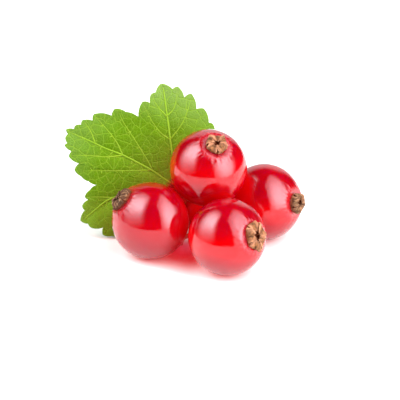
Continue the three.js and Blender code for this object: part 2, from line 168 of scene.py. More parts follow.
SIDE_VEINS = [
    [(-3.6, 2.5), (-4.2, 3.7), (-5.8, 6.3), (-7.3, 8.6), (-7.8, 9.8)],
    [(-3.6, 2.4), (-6.6, 2.3), (-9.8, 2.3), (-12.8, 2.3)],
    [(-7.4, 4.3), (-8.1, 5.9), (-9.3, 7.5), (-10.8, 9.2)],
    [(-7.5, 4.3), (-9.4, 4.1), (-12, 4.3), (-14.2, 4.3)],
    [(-11, 5.9), (-11.5, 7.3), (-12.4, 8.7)],
    [(-1.3, 6.4), (-2.4, 7.2), (-3.5, 8.6), (-4.6, 10.8)],
    [(-1.2, 6.4), (-0.1, 7.8), (0.8, 9.4), (1.5, 11.8)],
    [(-1.6, 9.3), (-2.8, 10.6), (-3.5, 11.8)],
    [(-1.7, 9.4), (-0.7, 10.5), (-0.3, 12.6)],
    [(-8.6, -1.2), (-10.3, -1.1), (-11.9, -1.1)],
]
SMALL_VEINS = [
    [(-5.2, 5.3), (-6.6, 5.2), (-8, 5.6)],
    [(-6.3, 7.4), (-7.4, 7.0), (-8.9, 7.1)],
    [(-2.2, 1.6), (-2.6, 3.2), (-3.6, 4.5), (-5.2, 5.2)],
    [(-1, 5), (-2.2, 5.4), (-3.4, 6.6), (-5.9, 6.6)],
    [(-6.2, 3.6), (-6.2, 2.3)],
    [(-8.6, 4.9), (-9.2, 4.2)],
    [(-10.2, 5.5), (-10.6, 4.2)],
    [(-7.4, 2.3), (-7.6, 0.8), (-8.2, -1.1)],
    [(-10.1, 2.3), (-10.3, 0.9), (-10.9, 0.2)],
    [(-5, 2.4), (-5.2, 0.9), (-5.6, -0.7)],
    [(-11.4, 2.4), (-12, 3.3), (-12.2, 4.3)],
    [(-9.2, 4.1), (-9, 3.1), (-9.4, 2.3)],
    [(-8.8, 6.8), (-9.8, 6.4), (-11, 6.2)],
    [(-10, 8.2), (-11, 7.8), (-11.8, 7.9)],
    [(-2.9, 7.7), (-3.8, 7.6), (-5, 8.4), (-6.8, 8)],
    [(-3.9, 9.4), (-5, 9.2), (-6, 9.7)],
    [(0.4, 8.6), (1.6, 8.6), (2.6, 9.4), (3.1, 10.3)],
    [(-0.6, 7.2), (0.6, 7), (2, 7.6), (3.2, 8.6)],
    [(1.1, 10.2), (0.2, 10.6), (-0.5, 11)],
    [(-9.9, -2.3), (-10.8, -1.9), (-11.8, -2.2)],
    [(-9.4, -1.6), (-9.8, -3), (-10.4, -4.4)],
]
VEIN_KINDS = (  # each kind's groove (depth and width), and its radii on the face and on the back
    {"veins": MAIN_VEINS, "groove": (0.1, 0.4), "face": (0.16, 0.12, 0.05), "back": (0.34, 0.26, 0.08)},
    {"veins": SIDE_VEINS, "groove": (0.07, 0.3), "face": (0.1, 0.04), "back": (0.2, 0.05)},
    {"veins": SMALL_VEINS, "groove": (0.04, 0.2), "face": (0.06, 0.03), "back": (0.1, 0.03)},
)
FACE_SUNK = 0.1  # how far a vein's middle lies under the face
BACK_RAISED = 0.08  # and beyond the back
PALE_TIPS_AND_PAINTED_LIGHT = {"upper": 0.6, "tip": 0.15, "foot": 0.9, "low": 0.5}  # how much paler each part of the blade is: painted light on the upper lobe, the foot and the low part, and the tips' own paler green
# pale bloom at the tips, and a painted sheen on the upper lobe
BLOOM_AND_PAINTED_SHEEN = {"upper": 0.3, "tip": 0.2}
FLAT_MAP = {"name": "flat pattern", "unit": 20}
LEAF_RINGS = 64
EDGE_STEP = 0.16

PETIOLE = [
    LEAF_BASE, (-5.3, 11.6, 6.75), (-4.3, 12.7, 6.9), (-3, 14.5, 6.1), (-1.6, 16, 4.2), (-0.5, 16.9, 3),
]
PETIOLE_RADII = [0.3, 0.42, 0.45, 0.46, 0.48, 0.58]
PETIOLE_FOOT = [(-0.48, 16.93, 3.02), (0.3, 17.8, 2.3), (0.9, 18.7, 1.1)]
AXIS = [
    (-3.9, 7.2, 2.3), (-2.6, 8.9, 1.4), (-0.9, 10.8, 0.9), (0.2, 13.2, 0.8), (0.5, 15.8, 0.85),
    (0.5, 18, 0.95),
]
PETIOLE_FOOT_RADII = (0.6, 0.7, 0.75)
AXIS_TAPER = (0.7, 0.9, 1, 1.2, 1.7)  # in shares of the axis's radius
HEEL = [(0.2, 17.6, 1.05), (0.8, 18.5, 0.88), (1.3, 19.3, 0.82), (1.58, 19.85, 0.82)]
HEEL_RADII = (0.75, 0.95, 0.9, 0.8)
PEDICELS = {
    "front": [(-4.55, 4.17, 2.97), (-4.5, 5.7, 2.6), (-3.95, 7.2, 2.3)],
    "left": [(-5.95, 6.05, 1.15), (-5.95, 7.2, 0.75), (-5.6, 8.4, 0.75), (-4.6, 9, 0.9), (-2.8, 9, 1.3)],
    "right": [(-0.2, 13.7, 3.4), (-0.3, 14.6, 2.2), (0.35, 15.6, 1)],
    "top": [
        (-3.5, 10.2, 6.2), (-2.7, 11.5, 6.2), (-1.6, 13.2, 5.8), (-0.6, 14.9, 3.8), (0.2, 16.2, 1.8),
        (0.45, 16.9, 1.1),
    ],
    "small": [(-1.55, 10.4, 1.15), (-1.15, 10.55, 0.95), (-0.75, 11, 0.88)],
}
PEDICEL_TAPER = (1.5, 1.05, 1, 1, 1.25)  # in shares of a pedicel's radius
PEDICEL_SUNK = 0.05  # how far it runs into its berry
# A bract in its own frame, +Z along its stalk and +Y away from it
BRACT = {
    "route": [(0, 0.22, -0.35), (0, 0.3, 0.1), (0, 0.42, 0.55), (0, 0.62, 1.05)],
    "radii": (0.3, 0.56, 0.42, 0.04), "flat": 0.4, "lift": 0.3,
}
PETIOLE_BLEND = 2.2  # how far from the leaf's stalk the strig keeps its green
STRIG_FLUSH = {"start": 2.2, "reach": 2}  # red near the berries
STRIG_CRUMPLE = 0.03
STRIG_SEED = 1

# The stage: the camera looks at a spot on the floor behind the front berry
AIM = Vector((-3.46, 21.63, 0))
# where red light from the berries is painted on the floor
PAINTED_RED_LIGHT_ON_FLOOR = {"middle": (-5.5, 6.2, 0), "from": 1.0, "to": 4.5}
FLOOR_RADIUS = 95.0
FLOOR_DROP = 0.02  # how far the sheet lies below the sprig
FLOOR_WHITE = ((1.9, 36), (24, 73))  # middle and reach of the white part of the floor along X and Y
FLOOR_CORNERS = 4.0  # 2 for a round white part, more for a squarer one
FLOOR_EDGE = 1.03  # how far out, in shares of its reach, the white part ends
FLOOR_FADE = 1.36  # how far out, in shares of that, the floor has turned grey
FAR_GREY = 0.72
IMAGE_WIDTH = 400

# Softboxes as flat panels one unit away: the bearing of their middle from the camera's side towards
# +X, its height and their roll in degrees; how far they reach across and upward, how soft their
# edges are, the hot spot with its spreads each way, and the glow at the edge and in the spot.
SOFTBOXES = (
    {
        "bearing": -78, "height": 17, "roll": 30, "across": (-0.4, 0.64), "upward": (-0.47, 1.9),
        "edges": ((0.7, 0.45), (0.5, 0.5)), "spot": (0.38, 0.5), "wide": (0.77, 0.25),
        "tall": (0.46, 0.79), "glow": (0.9, 11.3),
    },
    {
        "bearing": 87, "height": 17, "roll": -30, "across": (-2.15, 0.0), "upward": (-2.8, 1.95),
        "edges": ((0.5, 0.4), (1.2, 0.7)), "spot": (-0.67, -0.05), "wide": (0.85, 0.7),
        "tall": (0.85, 1.06), "glow": (2.1, 10),
    },
)
BACKDROP = {"bearing": 152, "height": 34, "edge": 8, "glow": 0.95}
ROOM_GLOW = 0.02
EDGE_ON = 0.02  # a panel seen flatter than this gives no light


# ---------------------------------------------------------------- settings


def length_setting(name, description, millimetres):
    return FloatProperty(name=name, description=description, default=millimetres * MM, unit="LENGTH")


def colour_setting(name, description, default):
    return FloatVectorProperty(name=name, description=description, subtype="COLOR", size=3, default=default)


class BerrySettings(bpy.types.PropertyGroup):
    """The berries' form and skin."""

    radius: length_setting("Radius", "Half a ripe berry's width", BERRY_RADIUS)
    segments: IntProperty(name="Segments", description="Steps round a berry", default=112, min=16)
    collar: length_setting("Collar", "Height of the collar round the calyx", 0.06)
    skin: colour_setting("Skin", "Colour of the ripe skin", (0.27, 0.0, 0.006))
    # painted glow: the brighter red that stands in for light gathered in the flesh
    lit: colour_setting("Lit skin", "Colour where light gathers in the flesh", (0.46, 0.0, 0.001))
    pale: colour_setting("Pale skin", "Colour of the skin round the collar", (0.36, 0.012, 0.022))
    depth: length_setting("Glow depth", "How far light spreads in the flesh", 5)
    through: colour_setting("Light through", "Colour of the light that comes through", (0.63, 0.03, 0.06))


class CalyxSettings(bpy.types.PropertyGroup):
    """The withered flower ends."""

    thickness: length_setting("Thickness", "Thickness of a dry sepal", 0.16)
    seed: IntProperty(name="Seed", description="Picks how the sepals are crumpled", default=1, min=1)
    body: colour_setting("Body", "Colour of the dry sepals", (0.31, 0.118, 0.042))
    pale: colour_setting("Pale", "Colour of their rims", (0.62, 0.27, 0.15))
    # painted shade deep in the cup and at the sepals' feet, and the dark patches of old sepals
    dark: colour_setting("Dark", "Colour of the folds", (0.22, 0.04, 0.01))
    groove: colour_setting("Grooves", "Colour between the dry strands", (0.05, 0.015, 0.005))
    aged: colour_setting("Aged", "Colour of the oldest ones", (0.3, 0.2, 0.11))


class LeafSettings(bpy.types.PropertyGroup):
    """The leaf's blade and veins."""

    thickness: length_setting("Thickness", "Thickness of the blade", 0.34)
    blade: colour_setting("Blade", "Colour between the veins", (0.09, 0.19, 0.002))
    # paler green for the tips, and painted light on the upper lobe, the foot and the low part
    pale_blade: colour_setting("Young blade", "Colour of the paler lobes", (0.16, 0.265, 0.015))
    # pale bloom at the tips, and a painted sheen on the upper lobe
    bloom_and_painted_sheen: colour_setting("Bloom", "Pale bloom toward the edge", (0.17, 0.25, 0.11))
    vein: colour_setting("Veins", "Colour of the veins", (0.2, 0.34, 0.02))
    # painted red light from the berries on the blade's foot
    flush: colour_setting("Flush", "Red flush at the foot of the blade", (0.32, 0.006, 0.006))


class StrigSettings(bpy.types.PropertyGroup):
    """The branched stem."""

    pedicel: length_setting("Pedicel", "Radius of a berry's own stalk", 0.32)
    axis: length_setting("Axis", "Radius of the stem that the stalks grow on", 0.5)
    green: colour_setting("Green", "Colour of the fresh stem", (0.2, 0.31, 0.035))
    ripe: colour_setting("Ripe", "Colour of the sunned patches", (0.26, 0.24, 0.045))
    flush: colour_setting("Flush", "Red flush near the berries", (0.34, 0.03, 0.012))


class StageSettings(bpy.types.PropertyGroup):
    """Floor, light and camera."""

    distance: length_setting("Distance", "From the camera to its aim", 500)
    elevation: FloatProperty(
        name="Elevation", description="Height of the camera's view", unit="ROTATION",
        default=math.radians(25),
    )
    scale: FloatProperty(name="Scale", description="Image pixels per millimetre at the aim", default=7.5)
    floor: colour_setting("Floor", "Colour of the floor", (0.8, 0.8, 0.8))
    # painted red light on the floor between the berries' feet
    painted_red_light_on_floor: colour_setting("Blush", "Colour of the floor between the berries' feet", (0.8, 0.14, 0.25))


# ---------------------------------------------------------------- node helpers


def add_node(tree, kind, inputs=None, **values):
    """A node with its settings, and its inputs set to values or linked to sockets."""
    made = tree.nodes.new(kind)
    for name, value in values.items():
        setattr(made, name, value)
    for name, value in (inputs or {}).items():
        if isinstance(value, bpy.types.NodeSocket):
            tree.links.new(value, made.inputs[name])
        else:
            made.inputs[name].default_value = value
    return made


def calculate(tree, operation, *values):
    """A Math node's result."""
    return add_node(tree, "ShaderNodeMath", dict(enumerate(values)), operation=operation).outputs[0]


def add(tree, first, second):
    return calculate(tree, "ADD", first, second)


def subtract(tree, first, second):
    return calculate(tree, "SUBTRACT", first, second)


def multiply(tree, first, second):
    return calculate(tree, "MULTIPLY", first, second)


def compare(tree, operation, first, second):
    """The number that a Vector Math node makes of two vectors."""
    return add_node(tree, "ShaderNodeVectorMath", {0: first, 1: second}, operation=operation).outputs["Value"]


def smooth_step(tree, value, low, high):
    """0 below low, 1 above high, and smooth between."""
    inputs = {"Value": value, "From Min": low, "From Max": high}
    return add_node(tree, "ShaderNodeMapRange", inputs, interpolation_type="SMOOTHSTEP").outputs[0]


def opaque(colour):
    """A colour with full alpha; a socket stays as it is."""
    return colour if isinstance(colour, bpy.types.NodeSocket) else (*colour, 1)


def mix_colours(tree, share, first, second, blend="MIX"):
    """The first colour, giving way to the second as share grows."""
    inputs = {0: share, 6: opaque(first), 7: opaque(second)}
    return add_node(tree, "ShaderNodeMix", inputs, data_type="RGBA", blend_type=blend).outputs[2]


def mix_shaders(tree, share, first, second):
    """The first shader, giving way to the second as share grows."""
    return add_node(tree, "ShaderNodeMixShader", {0: share, 1: first.outputs[0], 2: second.outputs[0]})


def noise_texture(tree, vector, scale, detail, roughness=0.5):
    inputs = {"Vector": vector, "Scale": scale, "Detail": detail, "Roughness": roughness}
    return add_node(tree, "ShaderNodeTexNoise", inputs).outputs


def bumped(tree, height, strength, distance, **under):
    """The normals of a fine relief, over the ones given as Normal."""
    inputs = {"Height": height, "Strength": strength, "Distance": distance, **under}
    return add_node(tree, "ShaderNodeBump", inputs).outputs["Normal"]


def new_material(name):
    """A material with an empty node tree, and the socket for its surface."""
    material = bpy.data.materials.new(name)
    material.use_nodes = True
    tree = material.node_tree
    tree.nodes.clear()
    return material, tree, tree.nodes.new("ShaderNodeOutputMaterial").inputs["Surface"]


def own_attribute(tree, name, output="Fac"):
    return add_node(tree, "ShaderNodeAttribute", attribute_name=name).outputs[output]


def own_place(tree):
    return add_node(tree, "ShaderNodeTexCoord").outputs["Object"]


def mottle_group():
    """Two colours in soft patches with finer specks, and the mask between them."""
    name = "Natural mottle"
    if name in bpy.data.node_groups:
        return bpy.data.node_groups[name]
    group = bpy.data.node_groups.new(name, "ShaderNodeTree")
    kinds = {"Vector": "Vector", "Scale": "Float", "Contrast": "Float", "Light": "Color", "Dark": "Color"}
    for title, kind in kinds.items():
        group.interface.new_socket(title, in_out="INPUT", socket_type=f"NodeSocket{kind}")
    for title, kind in (("Color", "Color"), ("Mask", "Float")):
        group.interface.new_socket(title, in_out="OUTPUT", socket_type=f"NodeSocket{kind}")
    entry = group.nodes.new("NodeGroupInput").outputs
    half = multiply(group, entry["Contrast"], 0.5)
    low, high = subtract(group, 0.5, half), add(group, 0.5, half)
    patches = noise_texture(group, entry["Vector"], entry["Scale"], 5.0, 0.6)
    mask = smooth_step(group, patches["Fac"], low, high)
    colour = mix_colours(group, mask, entry["Dark"], entry["Light"])
    leave = group.nodes.new("NodeGroupOutput").inputs
    group.links.new(colour, leave["Color"])
    group.links.new(mask, leave["Mask"])
    return group


def mottled(tree, vector, scale, contrast, dark, light):
    """The mottle group placed in a material."""
    inputs = {"Vector": vector, "Scale": scale, "Contrast": contrast}
    inputs |= {"Dark": opaque(dark), "Light": opaque(light)}
    return add_node(tree, "ShaderNodeGroup", inputs, node_tree=mottle_group()).outputs


def dimmed(colour, share):
    return tuple(share * channel for channel in colour)


# ---------------------------------------------------------------- materials


def berry_skin(settings):
    """Taut, glossy, translucent red skin, paler and puckered round the collar, with a brighter red glow
    painted across it and in its nooks.
    """
    material, tree, surface = new_material("ripe berry skin")
    place = own_attribute(tree, "own_place", "Vector")
    x, y, height = add_node(tree, "ShaderNodeSeparateXYZ", {0: place}).outputs

    # faint strands that run from pole to pole under the skin
    wobble = noise_texture(tree, place, 2.2, 2.0)["Fac"]
    around = add(tree, calculate(tree, "ARCTAN2", y, x), multiply(tree, wobble, STRANDS["bend"]))
    wave = calculate(tree, "ABSOLUTE", calculate(tree, "COSINE", multiply(tree, around, STRANDS["number"])))
    strand = multiply(tree, calculate(tree, "POWER", wave, STRANDS["fineness"]), STRANDS["strength"])

    # the zone round the collar, streaked along the skin
    streaks = noise_texture(tree, place, 9.0, 4.0, 0.65)["Fac"]
    ragged = add(tree, height, multiply(tree, subtract(tree, streaks, 0.5), COLLAR_ZONE["ragged"]))
    collar = smooth_step(tree, ragged, COLLAR_ZONE["from"], COLLAR_ZONE["to"])
    patches = mottled(tree, place, 1.6, 0.5, dimmed(settings.skin, 0.9), settings.skin)
    # painted glow: brighter red in a band across each berry and in the nooks between berries
    colour = mix_colours(tree, own_attribute(tree, "painted_glow"), patches["Color"], settings.lit)
    colour = mix_colours(tree, strand, colour, settings.pale)
    colour = mix_colours(tree, multiply(tree, collar, COLLAR_ZONE["pale"]), colour, settings.pale)

    grain = bumped(tree, noise_texture(tree, place, 14.0, 3.0)["Fac"], 0.05, 0.0004)
    crease = bumped(tree, streaks, multiply(tree, collar, 0.5), 0.0004, Normal=grain)
    nook = own_attribute(tree, "nook")
    polish = {
        name: add(tree, multiply(tree, nook, change), start) for name, (start, change) in POLISH.items()
    }
    shader = add_node(
        tree, "ShaderNodeBsdfPrincipled",
        {"Base Color": colour, "IOR": 1.45, "Subsurface Weight": 0.85,
         "Subsurface Radius": (1.0, 0.05, 0.03), "Subsurface Scale": settings.depth,
         "Specular Tint": (1.0, 0.84, 0.97, 1.0), "Coat Roughness": 0.04, "Coat IOR": 1.5,
         "Normal": crease, **polish},
        subsurface_method="RANDOM_WALK",
    )
    # light from the lamps comes through the flesh and reddens the shadow
    lamp = add_node(tree, "ShaderNodeLightPath").outputs["Is Shadow Ray"]
    through = add_node(tree, "ShaderNodeBsdfTransparent", {"Color": opaque(settings.through)})
    tree.links.new(mix_shaders(tree, lamp, shader, through).outputs[0], surface)
    return material


def withered_calyx(settings):
    """Dry, crumpled, tan sepals: pale along their rims, with shade painted dark in the folds deep in the cup
    and at their feet, greyer with age.
    """
    material, tree, surface = new_material("withered calyx")
    place = own_place(tree)
    age = own_attribute(tree, "age")
    patches = mottled(tree, place, 2200.0, 0.3, dimmed(settings.body, 0.3), settings.body)
    rim = multiply(tree, own_attribute(tree, "rim"), 0.8)
    colour = mix_colours(tree, rim, patches["Color"], settings.pale)
    colour = mix_colours(tree, multiply(tree, age, 0.7), colour, settings.aged)
    worn = multiply(tree, age, subtract(tree, 1.0, patches["Mask"]))
    colour = mix_colours(tree, multiply(tree, worn, 0.5), colour, settings.dark)

    # dry strands that run along each sepal, deeper in the old ones
    strand_place = own_attribute(tree, "strand_place", "Vector")
    strands = noise_texture(tree, strand_place, 6.0, 2.0)["Fac"]
    strands = subtract(tree, strands, multiply(tree, age, 0.1))
    groove = subtract(tree, 1.0, smooth_step(tree, strands, 0.36, 0.5))
    share = multiply(tree, groove, add(tree, multiply(tree, age, 0.75), 0.2))
    colour = mix_colours(tree, share, colour, settings.groove)
    # painted shade: darker deep in the cup, on the stamens and at the sepals' feet
    colour = mix_colours(tree, own_attribute(tree, "painted_fold_shade"), colour, settings.dark)

    fine = multiply(tree, noise_texture(tree, place, 4000.0, 4.0)["Fac"], 0.4)
    crumple = add(tree, noise_texture(tree, place, 1500.0, 2.0)["Fac"], fine)
    shader = add_node(
        tree, "ShaderNodeBsdfPrincipled",
        {"Base Color": colour, "Roughness": 0.7, "IOR": 1.4, "Specular IOR Level": 0.3,
         "Normal": bumped(tree, subtract(tree, crumple, groove), 0.9, 0.0003)},
    )
    tree.links.new(shader.outputs[0], surface)
    return material


def green_stalk(settings):
    """Fresh satin stem, green with a red flush."""
    material, tree, surface = new_material("green stalk")
    place = own_place(tree)
    patches = mottled(tree, place, 350.0, 0.5, settings.ripe, settings.green)
    fine = noise_texture(tree, place, 2500.0, 3.0)["Fac"]
    shader = add_node(
        tree, "ShaderNodeBsdfPrincipled",
        {"Base Color": mix_colours(tree, own_attribute(tree, "flush"), patches["Color"], settings.flush),
         "Roughness": 0.45, "IOR": 1.42, "Specular IOR Level": 0.25,
         "Normal": bumped(tree, fine, 0.3, 0.0001)},
    )
    tree.links.new(shader.outputs[0], surface)
    return material


def vein_net(tree, pattern, scale, width):
    """1 on the walls between the cells of a net, 0 inside them."""
    cells = add_node(
        tree, "ShaderNodeTexVoronoi", {"Vector": pattern, "Scale": scale, "Randomness": 0.9},
        feature="DISTANCE_TO_EDGE", voronoi_dimensions="2D",
    )
    return subtract(tree, 1.0, smooth_step(tree, cells.outputs["Distance"], 0.0, width))


def leaf_blade(settings):
    """A fresh matt blade: pale veins, a net of finer ones, puffed between them, with light painted paler on
    some parts, a painted sheen on the upper lobe and painted red light at its foot.
    """
    material, tree, surface = new_material("leaf blade")
    flat = add_node(tree, "ShaderNodeUVMap", uv_map=FLAT_MAP["name"]).outputs["UV"]
    bent = noise_texture(tree, flat, 22.0, 2.0)["Color"]
    pattern = mix_colours(tree, 0.02, flat, bent, blend="ADD")
    coarse = vein_net(tree, pattern, 17.0, 0.1)
    fine = vein_net(tree, pattern, 46.0, 0.16)

    patches = mottled(tree, flat, 9.0, 0.5, dimmed(settings.blade, 0.8), settings.blade)
    colour = patches["Color"]
    # painted light: the upper lobe, the foot and the low part are made paler, and the upper lobe gets a
    # painted sheen; the tips' paler green and bloom are their own
    for share, other in (
        (own_attribute(tree, "pale_tips_and_painted_light"), settings.pale_blade),
        (own_attribute(tree, "bloom_and_painted_sheen"), settings.bloom_and_painted_sheen),
        (multiply(tree, fine, 0.16), settings.vein),
        (multiply(tree, coarse, 0.4), settings.vein),
        (own_attribute(tree, "vein"), settings.vein),
        # painted red light from the berries at the blade's foot
        (own_attribute(tree, "flush"), settings.flush),
    ):
        colour = mix_colours(tree, share, colour, other)

    relief = multiply(tree, add(tree, coarse, multiply(tree, fine, 0.5)), -1.0)
    shader = add_node(
        tree, "ShaderNodeBsdfPrincipled",
        {"Base Color": colour, "Roughness": 0.5, "IOR": 1.35, "Specular IOR Level": 0.07,
         "Subsurface Weight": 0.3, "Subsurface Radius": (0.5, 1.0, 0.1), "Subsurface Scale": 0.0006,
         "Normal": bumped(tree, relief, 0.5, 0.0002)},
    )
    tree.links.new(shader.outputs[0], surface)
    return material


def floor_paper(settings):
    """White paper with red light from the berries painted on it near their feet, and pale grey far from them.
    """
    material, tree, surface = new_material("plain floor")
    place = own_place(tree)
    # painted red light: the floor turns red near the berries' feet
    apart = compare(tree, "DISTANCE", place, on_sprig(PAINTED_RED_LIGHT_ON_FLOOR["middle"]) * MM)
    away = smooth_step(tree, apart, PAINTED_RED_LIGHT_ON_FLOOR["from"] * MM, PAINTED_RED_LIGHT_ON_FLOOR["to"] * MM)
    shader = add_node(
        tree, "ShaderNodeBsdfPrincipled",
        {"Base Color": mix_colours(tree, away, settings.painted_red_light_on_floor, settings.floor), "Roughness": 0.9,
         "Specular IOR Level": 0.1},
    )
    # far out the camera sees the sheet turn into the backdrop's grey, so that bright rims stand out
    x, y, _ = add_node(tree, "ShaderNodeSeparateXYZ", {0: place}).outputs
    rounded = 0.0
    for axis, (middle, reach) in zip((x, y), FLOOR_WHITE):
        share = calculate(tree, "DIVIDE", subtract(tree, axis, middle * MM), reach * MM)
        share = calculate(tree, "ABSOLUTE", share)
        rounded = add(tree, rounded, calculate(tree, "POWER", share, FLOOR_CORNERS))
    out = calculate(tree, "POWER", rounded, 1 / FLOOR_CORNERS)
    far = smooth_step(tree, out, 1.0, FLOOR_EDGE)
    fade = smooth_step(tree, out, FLOOR_EDGE, FLOOR_FADE)
    grey = subtract(tree, 1.0, multiply(tree, fade, 1 - FAR_GREY))
    seen = add_node(tree, "ShaderNodeLightPath").outputs["Is Camera Ray"]
    pale = add_node(tree, "ShaderNodeEmission", {"Color": (1, 1, 1, 1), "Strength": grey})
    material.cycles.emission_sampling = "NONE"
    tree.links.new(mix_shaders(tree, multiply(tree, far, seen), shader, pale).outputs[0], surface)
    return material


# ---------------------------------------------------------------- mesh helpers


def on_sprig(point):
    """A place given from under the front berry, in millimetres of the frame."""
    return FRONT_FOOT + Vector(point)


def heading(turn, rise):
    """The direction with a turn about Z from +X and a rise, in degrees."""
    t, r = math.radians(turn), math.radians(rise)
    return Vector((math.cos(r) * math.cos(t), math.cos(r) * math.sin(t), math.sin(r)))


def limited(value):
    return max(0, min(1, value))


def berry_frame(berry):
    """From a berry's own frame, +Z the way its flower looks and +Y upwards, to its place."""
    forward = heading(berry["turn"], berry["rise"])
    side = Vector((0, 0, 1)).cross(forward).normalized()
    upward = forward.cross(side)
    turned = Matrix((side, upward, forward)).transposed().to_4x4()
    skewed = Matrix.Identity(4)
    for axis, growth in enumerate(berry["skew"] * SKEW_WAY):
        skewed[axis][0] += growth
    return Matrix.Translation(berry["at"]) @ skewed @ turned @ Matrix.Scale(berry["size"], 4)


def smooth_route(points, steps):
    """Evenly numbered points on a smooth curve through the given ones."""
    points = [Vector(p) for p in points]
    ends = [2 * points[0] - points[1], *points, 2 * points[-1] - points[-2]]
    route = []
    for i in range(steps + 1):
        place = i / steps * (len(points) - 1)
        first = min(int(place), len(points) - 2)
        t = place - first
        a, b, c, d = ends[first:first + 4]
        bend = (2 * a - 5 * b + 4 * c - d) * t**2
        route.append(0.5 * (2 * b + (c - a) * t + bend + (3 * b - a - 3 * c + d) * t**3))
    return route


def value_along(values, share):
    """A value from a row of them, share of the way along."""
    place = share * (len(values) - 1)
    first = min(int(place), len(values) - 2)
    return values[first] + (values[first + 1] - values[first]) * (place - first)


def spin_outline(bm, outline, steps):
    """Turns an outline once round Z and merges its poles and its seam."""
    verts = [bm.verts.new(point) for point in outline]
    edges = [bm.edges.new(pair) for pair in zip(verts, verts[1:])]
    bmesh.ops.spin(
        bm, geom=verts + edges, cent=(0, 0, 0), axis=(0, 0, 1), angle=2 * math.pi, steps=steps,
        use_merge=True,
    )
    bmesh.ops.remove_doubles(bm, verts=bm.verts, dist=1e-4)


def extrude_ring(bm, edges):
    """Extrudes a ring of edges, and gives the new ring's points and edges."""
    grown = bmesh.ops.extrude_edge_only(bm, edges=edges)["geom"]
    verts = [item for item in grown if isinstance(item, bmesh.types.BMVert)]
    fresh = set(verts)
    edges = [item for item in grown if isinstance(item, bmesh.types.BMEdge)]
    return verts, [edge for edge in edges if all(vert in fresh for vert in edge.verts)]


def pour(part, bm):
    """Adds one mesh to another and frees it."""
    poured = bpy.data.meshes.new("poured")
    part.to_mesh(poured)
    part.free()
    bm.from_mesh(poured)
    bpy.data.meshes.remove(poured)


def grow_tube(bm, points, radii, sides, steps, mark=None):
    """A tapered round stalk extruded along a smooth curve, closed at both ends and added to bm."""
    route = smooth_route(points, steps)
    headings = [(route[min(i + 1, steps)] - route[max(i - 1, 0)]).normalized() for i in range(steps + 1)]
    start = Matrix.Translation(route[0]) @ headings[0].to_track_quat("Z", "Y").to_matrix().to_4x4()
    tube = bmesh.new()
    bmesh.ops.create_circle(tube, segments=sides, radius=radii[0], matrix=start)
    first = edges = tube.edges[:]
    for i in range(1, steps + 1):
        verts, edges = extrude_ring(tube, edges)
        turn = headings[i - 1].rotation_difference(headings[i]).to_matrix().to_4x4()
        ratio = value_along(radii, i / steps) / value_along(radii, (i - 1) / steps)
        move = Matrix.Translation(route[i]) @ turn @ Matrix.Scale(ratio, 4)
        bmesh.ops.transform(tube, matrix=move @ Matrix.Translation(-route[i - 1]), verts=verts)
    bmesh.ops.edgeloop_fill(tube, edges=first)
    bmesh.ops.edgeloop_fill(tube, edges=edges)
    if mark:
        name, value = mark
        layer = tube.verts.layers.float.new(name)
        for vert in tube.verts:
            vert[layer] = value
    pour(tube, bm)


def point_places(mesh):
    co = np.empty(len(mesh.vertices) * 3)
    mesh.vertices.foreach_get("co", co)
    return co.reshape(-1, 3)


def write_mask(mesh, name, values):
    """A number on each point of a mesh, for its material."""
    mesh.attributes.new(name, "FLOAT", "POINT").data.foreach_set("value", values)


def add_object(bm, name, material):
    """Brings a mesh to metres and puts it in the scene."""
    bmesh.ops.scale(bm, vec=(MM, MM, MM), verts=bm.verts)
    mesh = bpy.data.meshes.new(name)
    bm.to_mesh(mesh)
    bm.free()
    mesh.materials.append(material)
    added = bpy.data.objects.new(name, mesh)
    bpy.context.scene.collection.objects.link(added)
    return added


def finish_piece(bm, name, material, node):
    """Makes a smooth piece of a closed mesh and hands it to the frame."""
    bmesh.ops.recalc_face_normals(bm, faces=bm.faces)
    piece = add_object(bm, name, material)
    piece.data.shade_smooth()
    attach(piece, "root")
    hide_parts(node)
    return piece


# ---------------------------------------------------------------- berries


def berry_outline(settings):
    """Half a berry's outline, from the scar of the stem to the scar under the calyx."""
    radius = settings.radius / MM
    collar = settings.collar / MM
    outline = []
    steps = settings.segments * 2 // 3
    for i in range(steps + 1):
        angle = math.pi * i / steps
        from_flower = 180 - math.degrees(angle)
        reach = radius
        reach -= (radius - STEM_REACH) * math.exp(-((math.degrees(angle) / STEM_WIDTH) ** 2))
        reach += collar * math.exp(-(((from_flower - COLLAR_ANGLE) / COLLAR_WIDTH) ** 2))
        if from_flower < COLLAR_ANGLE:
            reach = min(reach, SCAR_REACH / math.cos(math.radians(from_flower)))
        outline.append(Vector((reach * math.sin(angle), 0, -reach * math.cos(angle))))
    return outline


def puckered(point):
    """A point of the skin, pulled in fine creases round the collar and slightly uneven."""
    direction = point.normalized()
    from_flower = math.degrees(math.acos(max(-1, min(1, direction.z))))
    around = math.atan2(direction.y, direction.x)
    near = math.exp(-(((from_flower - COLLAR_ANGLE - PUCKERS["beyond"]) / PUCKERS["width"]) ** 2))
    sway = noise.noise(direction * 4) * 2
    crease = PUCKERS["depth"] * near * math.cos(PUCKERS["number"] * around + 3 * sway)
    crease += PUCKERS["rough"] * near * noise.noise(direction * 12)
    uneven = UNEVEN * noise.noise(direction * 1.7 + Vector((5, 1, 2)))
    return point + direction * (crease + uneven)


def nook_depth(point, name):
    """0 where a point of one berry looks into the open, 1 where its neighbours close it in."""
    outward = (point - BERRIES[name]["at"]).normalized()
    filled = 0
    for key, other in BERRIES.items():
        if key != name:
            toward = other["at"] - point
            size = BERRY_RADIUS * other["size"] / toward.length
            filled += max(0, outward.dot(toward.normalized())) * min(1, size**2)
    return limited((filled - NOOK["from"]) / (NOOK["to"] - NOOK["from"]))


